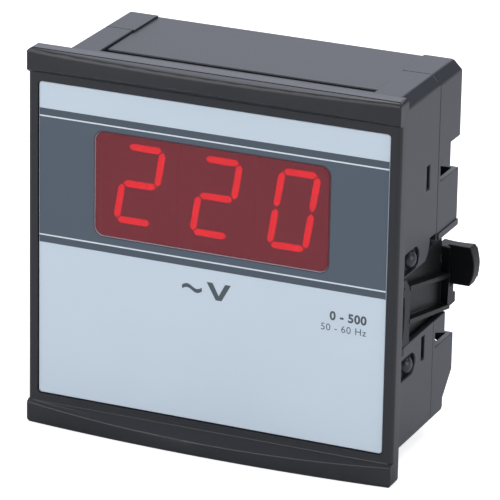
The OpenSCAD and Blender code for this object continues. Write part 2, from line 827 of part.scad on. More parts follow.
// Flat bar through the cage, with a leg and a pin to the main board.
module busbar(z) {
    color("#c8a24a") {
        translate([term_x, 0, z]) {
            block([-busbar_w/2, busbar_y, -leg_z0], [busbar_w/2, busbar_y + bar_t, 4]);
            block([main_board_w/2 - 2.4 - term_x, busbar_y, -leg_z0], [0, busbar_y + bar_t, -leg_z1]);
        }
        rod_y(main_board_w/2 - 1.6, z - 4.9, 0.7, main_board_y - 0.8, busbar_y + e);
    }
}

// Loop of folded strip that the screw draws up to the bar.
module cage(z) {
    y1 = cage_rear_y + cage_rear_t;
    color("#b9bcc0") translate([term_x, 0, z]) difference() {
        translate([0, 0, -cage_h/2]) linear_extrude(height = cage_h)
            translate([0, (cage_front + y1)/2]) round_rect(cage_w, y1 - cage_front, 0.6);
        block([-cage_w/2 + cage_wall, cage_front + cage_wall, -cage_h], [cage_w/2 - cage_wall, cage_rear_y, cage_h]);
        rod_y(0, 0, screw_r + 0.08, cage_rear_y - 1, y1 + 1);
    }
}

module terminal_screw(z) {
    color("#c6c8cc") translate([term_x, 0, z]) difference() {
        union() {
            rod_y(0, 0, screw_r, screw_tip_y, head_y + 0.5);
            rod_y(0, 0, screw_head_r, head_y, head_y + head_t);
        }
        block([-0.4, head_y + head_t - 1.3, -screw_head_r - 1], [0.4, head_y + head_t + 1, screw_head_r + 1]);
        block([-2, head_y + head_t - 1.3, -0.4], [2, head_y + head_t + 1, 0.4]);
    }
}

module terminal_busbar_1() { busbar(term_z_up); }
module terminal_busbar_2() { busbar(term_z_low); }
module terminal_busbar_3() { mirror([1, 0, 0]) busbar(term_z_up); }
module terminal_busbar_4() { mirror([1, 0, 0]) busbar(term_z_low); }
module terminal_cage_1() { cage(term_z_up); }
module terminal_cage_2() { cage(term_z_low); }
module terminal_cage_3() { mirror([1, 0, 0]) cage(term_z_up); }
module terminal_cage_4() { mirror([1, 0, 0]) cage(term_z_low); }
module terminal_screw_1() { terminal_screw(term_z_up); }
module terminal_screw_2() { terminal_screw(term_z_low); }
module terminal_screw_3() { mirror([1, 0, 0]) terminal_screw(term_z_up); }
module terminal_screw_4() { mirror([1, 0, 0]) terminal_screw(term_z_low); }

bezel();
face_label();
display_window();
front_case();
rear_cover();
fixing_clamp_right();
fixing_clamp_left();
digit_left();
digit_middle();
digit_right();
lit_bars_left();
lit_bars_middle();
lit_bars_right();
unlit_bars();
display_board();
display_board_screws();
microcontroller();
display_connector();
ribbon_cable();
main_connector();
main_board();
main_board_screws();
transformer_core();
transformer_bobbin();
transformer_winding();
filter_capacitor();
film_capacitor();
bridge_rectifier();
voltage_regulator();
varistor();
input_resistors();
trimmer_body();
trimmer_rotor();
terminal_busbar_1();
terminal_busbar_2();
terminal_busbar_3();
terminal_busbar_4();
terminal_cage_1();
terminal_cage_2();
terminal_cage_3();
terminal_cage_4();
terminal_screw_1();
terminal_screw_2();
terminal_screw_3();
terminal_screw_4();
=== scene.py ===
"""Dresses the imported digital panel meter: its finishes, its printed face and its studio.

Each sub-assembly of the meter is a class that holds its own sizes in millimetres, builds the
pieces that replace plain solids, and gives every remaining solid its finish. All places come
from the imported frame, whose Y = 0 is the plane of the panel that the bezel seats on.
"""

import logging
import math
from dataclasses import dataclass, field
from enum import Enum
from typing import Any, Iterable, Sequence

import bmesh
import bpy
from mathutils import Matrix, Vector

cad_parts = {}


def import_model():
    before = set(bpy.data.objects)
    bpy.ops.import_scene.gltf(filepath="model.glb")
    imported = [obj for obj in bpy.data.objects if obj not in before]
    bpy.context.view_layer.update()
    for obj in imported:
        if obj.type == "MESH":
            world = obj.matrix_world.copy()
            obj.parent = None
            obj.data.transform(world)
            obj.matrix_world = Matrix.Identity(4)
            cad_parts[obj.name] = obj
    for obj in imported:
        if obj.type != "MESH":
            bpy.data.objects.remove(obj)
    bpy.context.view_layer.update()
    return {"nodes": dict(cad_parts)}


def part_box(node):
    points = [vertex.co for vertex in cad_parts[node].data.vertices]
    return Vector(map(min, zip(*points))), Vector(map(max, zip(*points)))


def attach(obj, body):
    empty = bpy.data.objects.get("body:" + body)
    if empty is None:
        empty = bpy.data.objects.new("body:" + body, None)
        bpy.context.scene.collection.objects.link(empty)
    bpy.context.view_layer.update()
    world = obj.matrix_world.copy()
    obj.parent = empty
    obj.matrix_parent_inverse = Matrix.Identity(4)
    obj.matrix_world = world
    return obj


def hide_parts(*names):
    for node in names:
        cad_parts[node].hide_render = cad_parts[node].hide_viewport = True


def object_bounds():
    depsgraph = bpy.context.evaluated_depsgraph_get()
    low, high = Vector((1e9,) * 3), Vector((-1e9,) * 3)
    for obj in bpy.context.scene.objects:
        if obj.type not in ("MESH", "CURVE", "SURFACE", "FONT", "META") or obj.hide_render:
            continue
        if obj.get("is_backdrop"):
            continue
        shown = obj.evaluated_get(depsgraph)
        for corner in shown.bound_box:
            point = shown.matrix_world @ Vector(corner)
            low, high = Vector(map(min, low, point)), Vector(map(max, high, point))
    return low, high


LOG = logging.getLogger("panel_meter")
METER = "meter"  # body of all that doesn't move

MM = 0.001  # metres in a millimetre
PER_METRE = 1000  # millimetres in a metre

# Sockets of the Mix node by number, because several of them share a name.
FACTOR, FLOAT_A, FLOAT_B, COLOUR_A, COLOUR_B, COLOUR_OUT = 0, 2, 3, 6, 7, 2

# Detail of the noises in the finishes.
DRIFT_DETAIL = 3.0
GRAIN_DETAIL = 2.0
GLOW_DETAIL = 1.0

# How solids are welded and their edges rounded over.
EDGE_STEPS = 2  # steps across a rounding
SHARP_DEGREES = 28.0  # an edge that turns more than this is rounded over
FLAT_DEGREES = 0.03  # faces that turn less than this become one
CORNER_DEGREES = 25.0  # a neighbouring edge that turns more than this ends a side
ROOM = 2.3  # clear space that a rounding needs, in its own widths
PLATE_WELD = 1e-7  # metres
SKIN_WELD = 2e-6  # metres
NO_LENGTH = 1e-9  # metres
FACE_WEIGHT = 100  # how far large faces decide the shading beside them

CAPITAL_SHARE = 0.7  # height of a capital in the font's size
LETTER_SPACING = 1.08

Point = tuple[float, float]
Loop = list[Point]


class Axis(Enum):
    """Axis of the frame, with its place in a point."""

    X = 0
    Y = 1
    Z = 2


class Side(Enum):
    """Side of the meter, seen from the front."""

    RIGHT = "right"
    LEFT = "left"


class Place(Enum):
    """Place of a digit, in the order that they are read."""

    LEFT = "left"
    MIDDLE = "middle"
    RIGHT = "right"


class Bar(Enum):
    """Light bars of a digit: three lying flat and four upright."""

    TOP = "a"
    RIGHT_UPPER = "b"
    RIGHT_LOWER = "c"
    BOTTOM = "d"
    LEFT_LOWER = "e"
    LEFT_UPPER = "f"
    MIDDLE = "g"


NUMERALS: dict[str, tuple[Bar, ...]] = {
    "0": (Bar.TOP, Bar.RIGHT_UPPER, Bar.RIGHT_LOWER, Bar.BOTTOM, Bar.LEFT_LOWER, Bar.LEFT_UPPER),
    "2": (Bar.TOP, Bar.RIGHT_UPPER, Bar.MIDDLE, Bar.LEFT_LOWER, Bar.BOTTOM),
}


# ---------- colour and nodes ----------


def linear(code: str) -> tuple[float, float, float, float]:
    """Turns an sRGB hex colour to linear values.

    Args:
        code: Colour written as "#rrggbb".

    Returns:
        Linear red, green and blue, and an alpha of 1.
    """
    parts = [int(code[i : i + 2], 16) / 255 for i in (1, 3, 5)]
    r, g, b = (c / 12.92 if c <= 0.04045 else ((c + 0.055) / 1.055) ** 2.4 for c in parts)
    return (r, g, b, 1.0)


def add(tree: bpy.types.NodeTree, kind: str, settings: dict[str | int, Any] | None = None,
        links: dict[str | int, bpy.types.NodeSocket] | None = None) -> bpy.types.Node:
    """Adds a node with its settings and links.

    Args:
        tree: Node tree that takes the node.
        kind: Blender's name of the node type.
        settings: Values by attribute name, or by input name or number where no attribute has it.
        links: Output sockets by the name or number of the input that each one feeds.

    Returns:
        The new node.
    """
    node = tree.nodes.new(kind)
    for key, value in (settings or {}).items():
        if isinstance(key, str) and hasattr(node, key):
            setattr(node, key, value)
        else:
            node.inputs[key].default_value = value
    for key, socket in (links or {}).items():
        tree.links.new(socket, node.inputs[key])
    return node


def new_tree(name: str) -> tuple[bpy.types.Material, bpy.types.NodeTree]:
    """Makes an empty node material.

    Args:
        name: Its name.

    Returns:
        The material and its node tree.
    """
    material = bpy.data.materials.new(name)
    material.use_nodes = True
    material.node_tree.nodes.clear()
    return material, material.node_tree


# ---------- finishes ----------


@dataclass(frozen=True)
class Finish:
    """A solid finish with a fine grain, a slow change of tone and a little unevenness in its gloss.

    Attributes:
        name: Common name of the material and how its surface was made.
        colour: Main colour.
        shade: Second colour, which drifts in slowly.
        roughness: Middle of the roughness.
        spread: How far the roughness varies to each side.
        grain_mm: Size of one grain of the surface.
        depth_mm: Height of the grain.
        drift_mm: Distance over which the tone drifts.
        metallic: 1 for metals.
        ior: Index of refraction.
        coat: Weight of a clear coat.
    """

    name: str
    colour: str
    shade: str
    roughness: float
    spread: float = 0.05
    grain_mm: float = 0.4
    depth_mm: float = 0.01
    drift_mm: float = 25.0
    metallic: float = 0.0
    ior: float = 1.5
    coat: float = 0.0

    def pattern(self, tree: bpy.types.NodeTree, place: bpy.types.NodeSocket) -> bpy.types.NodeSocket:
        """Gives the colour over the surface: here the two tones, drifting into each other.

        Args:
            tree: Node tree of the material.
            place: Place on the piece, in metres of the frame.

        Returns:
            The colour.
        """
        drift = add(tree, "ShaderNodeTexNoise", {"Scale": PER_METRE / self.drift_mm, "Detail": DRIFT_DETAIL},
                    {"Vector": place})
        tones = {"data_type": "RGBA", COLOUR_A: linear(self.colour), COLOUR_B: linear(self.shade)}
        return add(tree, "ShaderNodeMix", tones, {FACTOR: drift.outputs["Fac"]}).outputs[COLOUR_OUT]

    def shader(self, tree: bpy.types.NodeTree, place: bpy.types.NodeSocket) -> bpy.types.Node:
        """Makes the main shader with its colour, gloss and grain.

        Args:
            tree: Node tree of the material.
            place: Place on the piece, in metres of the frame.

        Returns:
            The shader's node.
        """
        grain = add(tree, "ShaderNodeTexNoise", {"Scale": PER_METRE / self.grain_mm, "Detail": GRAIN_DETAIL},
                    {"Vector": place})
        gloss = add(tree, "ShaderNodeMapRange",
                    {"To Min": self.roughness - self.spread, "To Max": self.roughness + self.spread},
                    {"Value": grain.outputs["Fac"]})
        bump = add(tree, "ShaderNodeBump", {"Strength": 1.0, "Distance": self.depth_mm * MM},
                   {"Height": grain.outputs["Fac"]})
        return add(tree, "ShaderNodeBsdfPrincipled",
                   {"Metallic": self.metallic, "IOR": self.ior, "Coat Weight": self.coat},
                   {"Base Color": self.pattern(tree, place), "Roughness": gloss.outputs["Result"],
                    "Normal": bump.outputs["Normal"]})

    def material(self) -> bpy.types.Material:
        """Makes the finish's material once, and gives the same one from then on.

        Returns:
            The material.
        """
        found = bpy.data.materials.get(self.name)
        if found is not None and found.get("finish"):
            return found
        material, tree = new_tree(self.name)
        material["finish"] = True
        place = add(tree, "ShaderNodeTexCoord").outputs["Object"]
        add(tree, "ShaderNodeOutputMaterial", {}, {"Surface": self.shader(tree, place).outputs[0]})
        return material


@dataclass(frozen=True)
class Striped(Finish):
    """A finish with even stripes along one axis, such as laminations, wires or printed tracks.

    Attributes:
        stripe: Colour of the stripes.
        pitch_mm: Distance from one stripe to the next.
        axis: Axis that crosses the stripes.
        share: Share of the pitch that a stripe covers.
    """

    stripe: str = "#000000"
    pitch_mm: float = 1.0
    axis: Axis = Axis.X
    share: float = 0.3

    def pattern(self, tree: bpy.types.NodeTree, place: bpy.types.NodeSocket) -> bpy.types.NodeSocket:
        """Lays the stripes over the drifting tones.

        Args:
            tree: Node tree of the material.
            place: Place on the piece, in metres of the frame.

        Returns:
            The colour.
        """
        ground = super().pattern(tree, place)
        parts = add(tree, "ShaderNodeSeparateXYZ", {}, {0: place})
        run = add(tree, "ShaderNodeMath", {"operation": "MULTIPLY", 1: PER_METRE / self.pitch_mm},
                  {0: parts.outputs[self.axis.value]})
        saw = add(tree, "ShaderNodeMath", {"operation": "FRACT"}, {0: run.outputs[0]})
        line = add(tree, "ShaderNodeMath", {"operation": "LESS_THAN", 1: self.share}, {0: saw.outputs[0]})
        return add(tree, "ShaderNodeMix", {"data_type": "RGBA", COLOUR_B: linear(self.stripe)},
                   {FACTOR: line.outputs[0], COLOUR_A: ground}).outputs[COLOUR_OUT]


@dataclass(frozen=True)
class Tinted(Finish):
    """A clear tinted plastic that lets what lies behind it through.

    Attributes:
        cover: How much of its own tint it shows over what lies behind.
    """

    cover: float = 0.5

    def shader(self, tree: bpy.types.NodeTree, place: bpy.types.NodeSocket) -> bpy.types.Node:
        """Makes the shader and thins it out to the cover.

        Args:
            tree: Node tree of the material.
            place: Place on the piece, in metres of the frame.

        Returns:
            The shader's node.
        """
        shader = super().shader(tree, place)
        shader.inputs["Alpha"].default_value = self.cover
        return shader


@dataclass(frozen=True)
class Glowing(Finish):
    """Clear epoxy lit from behind by its chips, a little brighter in places.

    Attributes:
        glow: Colour of the light.
        strength: Strength of the light.
        uneven: Share by which the strength rises and falls.
        patch_mm: Distance from one brighter place to the next.
    """

    glow: str = "#ff2020"
    strength: float = 1.0
    uneven: float = 0.15
    patch_mm: float = 6.0

    def shader(self, tree: bpy.types.NodeTree, place: bpy.types.NodeSocket) -> bpy.types.Node:
        """Makes the shader and lets it glow.

        Args:
            tree: Node tree of the material.
            place: Place on the piece, in metres of the frame.

        Returns:
            The shader's node.
        """
        shader = super().shader(tree, place)
        shader.inputs["Emission Color"].default_value = linear(self.glow)
        patch = add(tree, "ShaderNodeTexNoise", {"Scale": PER_METRE / self.patch_mm, "Detail": GLOW_DETAIL},
                    {"Vector": place})
        level = add(tree, "ShaderNodeMapRange", {"To Min": self.strength * (1 - self.uneven),
                                                 "To Max": self.strength * (1 + self.uneven)},
                    {"Value": patch.outputs["Fac"]})
        tree.links.new(level.outputs["Result"], shader.inputs["Emission Strength"])
        return shader


# Injection-moulded ABS with a fine spark-eroded texture: black, with soft broad highlights. The grain
# is drawn at 0.35 mm, coarser than the real one, so that it shows.
SATIN_ABS = Finish("satin_moulded_abs", "#1c1d20", "#222327", 0.3, 0.05, 0.35, 0.004, 30.0, ior=1.5)
# The same ABS with the coarser texture of a housing, which greys under a grazing light.
TEXTURED_ABS = Finish("textured_moulded_abs", "#202228", "#282a32", 0.36, 0.06, 0.45, 0.008, 22.0, ior=1.53)
# Moulded nylon, blacker and a little waxier than the housing, with weak highlights: its IOR is set
# lower than that of solid nylon for its dull skin.
MOULDED_NYLON = Finish("moulded_nylon", "#0a0a0c", "#101113", 0.42, 0.06, 0.5, 0.008, 8.0, ior=1.33)
# Polycarbonate film, printed on its back and finely frosted on its face: an even pale blue-grey.
FROSTED_FILM = Finish("frosted_polycarbonate_film", "#c4d2dc", "#cdd9e1", 0.42, 0.04, 0.3, 0.002, 35.0,
                      ior=1.58)
# Screen inks under the same film, so with its IOR: even, with hardly any grain.
SLATE_INK = Finish("slate_screen_ink", "#45525e", "#4a5764", 0.4, 0.04, 0.3, 0.002, 30.0, ior=1.58)
DARK_INK = Finish("dark_slate_screen_ink", "#3e4a55", "#43505b", 0.4, 0.04, 0.3, 0.002, 30.0, ior=1.58)
WINE_INK = Finish("wine_screen_ink", "#3c252d", "#402830", 0.4, 0.04, 0.3, 0.002, 20.0, ior=1.58)
SIGN_INK = Finish("sign_screen_ink", "#3f4b52", "#47535a", 0.42, 0.04, 0.3, 0.002, 20.0, ior=1.58)
WHITE_INK = Finish("white_screen_ink", "#dde5ea", "#d4dde3", 0.42, 0.04, 0.3, 0.002, 20.0, ior=1.58)
# Cast red acrylic, polished: it shows its own dull red over the dark modules.
RED_ACRYLIC = Tinted("polished_red_acrylic", "#8c2f38", "#88303a", 0.17, 0.006, 0.5, 0.0003, 40.0, ior=1.49,
                     cover=0.62)
# Rear part of the same moulding, nearly clear where it is seen through the pane.
CLEAR_FLANGE = Tinted("clear_red_acrylic", "#6a1f28", "#642028", 0.1, 0.03, 0.5, 0.001, 40.0, ior=1.49,
                      cover=0.08)
# Clear epoxy poured over the chips: lit bars glow, unlit ones keep the module's dull red.
LIT_EPOXY = Glowing("lit_red_epoxy", "#e01818", "#e62222", 0.4, 0.05, 0.4, 0.004, 5.0, ior=1.55,
                    glow="#ff040b", strength=4.6)
DULL_EPOXY = Finish("unlit_red_epoxy", "#42232a", "#48272c", 0.4, 0.05, 0.4, 0.004, 5.0, ior=1.55)
# Moulded ABS of the digit modules: matt and dark, so that only the lit bars stand out.
MODULE_ABS = Finish("matt_moulded_module", "#3c2326", "#44282c", 0.6, 0.03, 0.5, 0.0015, 15.0)
# Glass-epoxy board under green solder mask, its tracks showing as paler lines.
SOLDER_MASK = Striped("solder_masked_glass_epoxy", "#1f5a30", "#286a3a", 0.35, 0.06, 0.6, 0.01, 12.0,
                      stripe="#2f7a46", pitch_mm=2.54, axis=Axis.X, share=0.32)
# Zinc plate over turned or folded steel: a cool, slightly clouded silver.
ZINC_STEEL = Finish("zinc_plated_steel", "#b9bec4", "#a9afb8", 0.3, 0.08, 0.3, 0.004, 4.0, metallic=1.0)
# Half-hard brass strip, punched and bent: a warm yellow with soft reflections.
BRIGHT_BRASS = Finish("half_hard_brass", "#c9a255", "#b8934a", 0.28, 0.07, 0.3, 0.004, 5.0, metallic=1.0)
# Transfer-moulded epoxy of the chip packages: a matt black.
MOULDED_EPOXY = Finish("moulded_epoxy_package", "#18181a", "#202022", 0.55, 0.08, 0.25, 0.01, 6.0)
# Natural nylon of connectors and bobbin: creamy, with a soft sheen.
CREAM_NYLON = Finish("cream_moulded_nylon", "#d8d2c0", "#cfc8b4", 0.45, 0.06, 0.5, 0.006, 9.0)
# Flat cable of ribbed PVC, one rib to a wire.
RIBBED_PVC = Striped("ribbed_pvc_cable", "#8e949a", "#989ea4", 0.5, 0.06, 0.4, 0.004, 10.0,
                     stripe="#6f757b", pitch_mm=1.27, axis=Axis.Z, share=0.25)
# Stack of varnished steel sheets, seen on edge.
LAMINATED_STEEL = Striped("laminated_varnished_steel", "#5d5f63", "#696b70", 0.5, 0.1, 0.5, 0.01, 8.0,
                          metallic=0.6, stripe="#2c2d30", pitch_mm=0.6, axis=Axis.Y, share=0.3)
# Polyester tape wound over the coil: glossy amber, with the steps of its turns.
POLYESTER_TAPE = Striped("amber_polyester_tape", "#c98f1e", "#d59d2c", 0.25, 0.05, 0.8, 0.01, 7.0,
                         coat=0.4, stripe="#b37c14", pitch_mm=3.0, axis=Axis.Z, share=0.1)
# PVC sleeve shrunk on the capacitor's can: dark blue and glossy.
SHRUNK_PVC = Finish("shrunk_pvc_sleeve", "#1d2a44", "#24334f", 0.28, 0.05, 0.6, 0.004, 6.0, coat=0.3)
# Moulded case of the film capacitor: a plain satin yellow.
YELLOW_BOX = Finish("moulded_yellow_box", "#c8a92a", "#d2b436", 0.4, 0.05, 0.5, 0.006, 8.0)
# Epoxy in which small parts are dipped: a thick, glossy blue.
DIPPED_EPOXY = Finish("dipped_blue_epoxy", "#2350a0", "#2b5cae", 0.22, 0.05, 0.8, 0.01, 4.0, coat=0.5)
# Lacquered resistors with their painted rings along Z.
RINGED_LACQUER = Striped("ringed_lacquer", "#cbb384", "#d6c093", 0.3, 0.05, 0.4, 0.004, 4.0,
                         coat=0.3, stripe="#8a3b1c", pitch_mm=1.6, axis=Axis.Z, share=0.28)


# ---------- shaping ----------


def link(obj: bpy.types.Object) -> bpy.types.Object:
    """Puts an object in the scene."""
    bpy.context.scene.collection.objects.link(obj)
    return obj


def rounded(width: float, height: float, radius: float, centre: Point = (0.0, 0.0), steps: int = 10) -> Loop:
    """Draws a rectangle with round corners.

    Args:
        width: Width in millimetres.
        height: Height in millimetres.
        radius: Radius of its corners.
        centre: Its middle, as X and Z.
        steps: Points to a corner, less one.

    Returns:
        The outline as X and Z points.
    """
    quarters = ((1, 1, 0), (-1, 1, 90), (-1, -1, 180), (1, -1, 270))
    points = []
    for sx, sz, start in quarters:
        cx, cz = centre[0] + sx * (width / 2 - radius), centre[1] + sz * (height / 2 - radius)
        for i in range(steps + 1):
            a = math.radians(start + 90 * i / steps)
            points.append((cx + radius * math.cos(a), cz + radius * math.sin(a)))
    return points


def solidified(curve: bpy.types.Curve, name: str, y: float) -> bpy.types.Object:
    """Turns a flat curve into a mesh that stands upright.

    Args:
        curve: The curve, lying in X and Y; it is used up.
        name: Name of the piece.
        y: Y of the middle of its thickness, in millimetres.

    Returns:
        The mesh object.
    """
    flat = link(bpy.data.objects.new(name + "_curve", curve))
    bpy.context.view_layer.update()
    evaluated = flat.evaluated_get(bpy.context.evaluated_depsgraph_get())
    mesh = bpy.data.meshes.new_from_object(evaluated)
    mesh.name = name
    bpy.data.objects.remove(flat)
    bpy.data.curves.remove(curve)
    mesh.materials.clear()
    mesh.transform(Matrix.Rotation(math.radians(90), 4, "X"))
    mesh.transform(Matrix.Translation((0, y * MM, 0)))
    work = bmesh.new()
    work.from_mesh(mesh)
    bmesh.ops.remove_doubles(work, verts=work.verts, dist=PLATE_WELD)
    bmesh.ops.recalc_face_normals(work, faces=work.faces)
    work.to_mesh(mesh)
    work.free()
    return link(bpy.data.objects.new(name, mesh))


def plate(name: str, loops: Iterable[Loop], front: float, back: float, edge: float = 0.0) -> bpy.types.Object:
    """Cuts a flat plate from closed outlines, its edges rounded over.

    Args:
        name: Name of the piece.
        loops: Outlines as X and Z points in millimetres; one inside another cuts a hole.
        front: Y of the front face in millimetres.
        back: Y of the back face.
        edge: Radius of the rounded edges.

    Returns:
        The plate as a mesh object in the frame.
    """
    curve = bpy.data.curves.new(name, "CURVE")
    curve.dimensions, curve.fill_mode = "2D", "BOTH"
    curve.extrude = ((back - front) / 2 - edge) * MM
    curve.bevel_depth, curve.offset, curve.bevel_resolution = edge * MM, -edge * MM, EDGE_STEPS
    for loop in loops:
        spline = curve.splines.new("POLY")
        spline.points.add(len(loop) - 1)
        spline.use_cyclic_u = True
        for point, (x, z) in zip(spline.points, loop):
            point.co = (x * MM, z * MM, 0, 1)
    return solidified(curve, name, (front + back) / 2)


@dataclass(frozen=True)
class Words:
    """One generic line of a printed scale.

    Attributes:
        name: Name of the piece.
        text: What is set.
        height: Height of its capitals.
        base: Z of its base line.
        heavy: Extra width of its strokes.
    """

    name: str
    text: str
    height: float
    base: float
    heavy: float


def lettering(words: Words, right: float, front: float, ink: float) -> bpy.types.Object:
    """Sets a line of a scale in raised ink.

    Args:
        words: The line.
        right: X of its right end in millimetres.
        front: Y of the surface that it is printed on.
        ink: Thickness of the ink.

    Returns:
        The lettering as a mesh object in the frame.
    """
    curve = bpy.data.curves.new(words.name, "FONT")
    curve.body, curve.align_x = words.text, "RIGHT"
    curve.size = words.height / CAPITAL_SHARE * MM
    curve.extrude, curve.offset = ink / 2 * MM, words.heavy * MM
    curve.space_character = LETTER_SPACING
    obj = solidified(curve, words.name, front - ink / 2)
    obj.data.transform(Matrix.Translation((right * MM, 0, words.base * MM)))
    return obj


def has_room(edge: bmesh.types.BMEdge, width: float) -> bool:
    """Tells whether both faces beside an edge are wide enough to round it over.

    Args:
        edge: The edge.
        width: Width of the rounding in metres.

    Returns:
        True if no other side of those faces comes near the edge.
    """
    length, room = edge.calc_length(), ROOM * width
    for loop in edge.link_loops:
        start = loop.vert.co
        along = (loop.link_loop_next.vert.co - start).normalized()
        inward = loop.face.normal.cross(along)
        for other in loop.face.loops:
            ends = [v.co - start for v in (other.vert, other.link_loop_next.vert)]
            if other in (loop.link_loop_prev, loop.link_loop_next):
                turn = (ends[1] - ends[0]).angle(along, 0.0)
                if other.edge.calc_length() < room and turn > math.radians(CORNER_DEGREES):
                    return False
            elif other is not loop:
                (t0, d0), (t1, d1) = sorted((p.dot(along), p.dot(inward)) for p in ends)
                span = max(t1 - t0, NO_LENGTH)
                low, high = max(t0, -width), min(t1, length + width)
                if low <= high and min(abs(d0 + (d1 - d0) * (t - t0) / span) for t in (low, high)) < room:
                    return False
    return True


def softened(source: bpy.types.Object, name: str, edge: float, bowed: bool = False) -> bpy.types.Object:
    """Copies a solid as one welded skin and rounds over its sharp edges where there is room.

    Args:
        source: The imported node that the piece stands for.
        name: Name of the piece.
        edge: Width of the rounding in millimetres.
        bowed: Whether its large faces are bowed rather than flat.

    Returns:
        The new piece.
    """
    mesh = source.data.copy()
    mesh.name = name
    if mesh.has_custom_normals:
        mesh.normals_split_custom_set([(0, 0, 0)] * len(mesh.loops))
    work = bmesh.new()
    work.from_mesh(mesh)
    bmesh.ops.remove_doubles(work, verts=work.verts, dist=SKIN_WELD)
    bmesh.ops.dissolve_limit(work, angle_limit=math.radians(FLAT_DEGREES), verts=work.verts, edges=work.edges)
    for face in work.faces:
        face.smooth = True
    weight = work.edges.layers.float.new("bevel_weight_edge")
    for ridge in work.edges:
        ridge.smooth = len(ridge.link_faces) == 2 and ridge.calc_face_angle(0) < math.radians(SHARP_DEGREES)
        ridge[weight] = float(not ridge.smooth and has_room(ridge, edge * MM))
    work.to_mesh(mesh)
    work.free()
    mesh.materials.clear()
    piece = link(bpy.data.objects.new(name, mesh))
    bevel = piece.modifiers.new("rounded_edges", "BEVEL")
    bevel.width, bevel.segments = edge * MM, EDGE_STEPS
    bevel.limit_method, bevel.use_clamp_overlap = "WEIGHT", False
    bevel.harden_normals = bowed
    if not bowed:
        level = piece.modifiers.new("flat_faces", "WEIGHTED_NORMAL")
        level.weight, level.keep_sharp = FACE_WEIGHT, True
    return piece


def finish_piece(piece: bpy.types.Object, finish: Finish, body: str, slot: str, *nodes: str) -> None:
    """Gives a piece its finish and its body, and hides the solids that it replaces.

    Args:
        piece: The new piece.
        finish: Its finish.
        body: Body that it rides on.
        slot: Material slot of the record; not used.
        nodes: Solids that it replaces.
    """
    piece.data.materials.clear()
    piece.data.materials.append(finish.material())
    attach(piece, body)
    if nodes:
        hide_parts(*nodes)
    LOG.info("%s rides on %s in %s", piece.name, body, finish.name)


def dress(nodes: dict[str, bpy.types.Object], names: Iterable[str], finish: Finish) -> None:
    """Gives solids that keep their own shape a finish.

    Args:
        nodes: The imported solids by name.
        names: Names of the solids to finish.
        finish: Their finish.
    """
    for name in names:
        for slot in nodes[name].material_slots:
            slot.link = "OBJECT"
            slot.material = finish.material()
        LOG.info("%s keeps its shape, in %s", name, finish.name)


# ---------- the meter's sub-assemblies ----------


@dataclass
class Bezel:
    """The bowed bezel with its two projecting bars.

    Attributes:
        edge: Rounding of its edges.
    """

    edge: float = 0.22

    def build(self, nodes: dict[str, bpy.types.Object]) -> None:
        """Makes the bezel with its edges rounded over."""
        piece = softened(nodes["bezel"], "bowed_bezel", self.edge, bowed=True)
        finish_piece(piece, SATIN_ABS, METER, "bezel_black", "bezel")


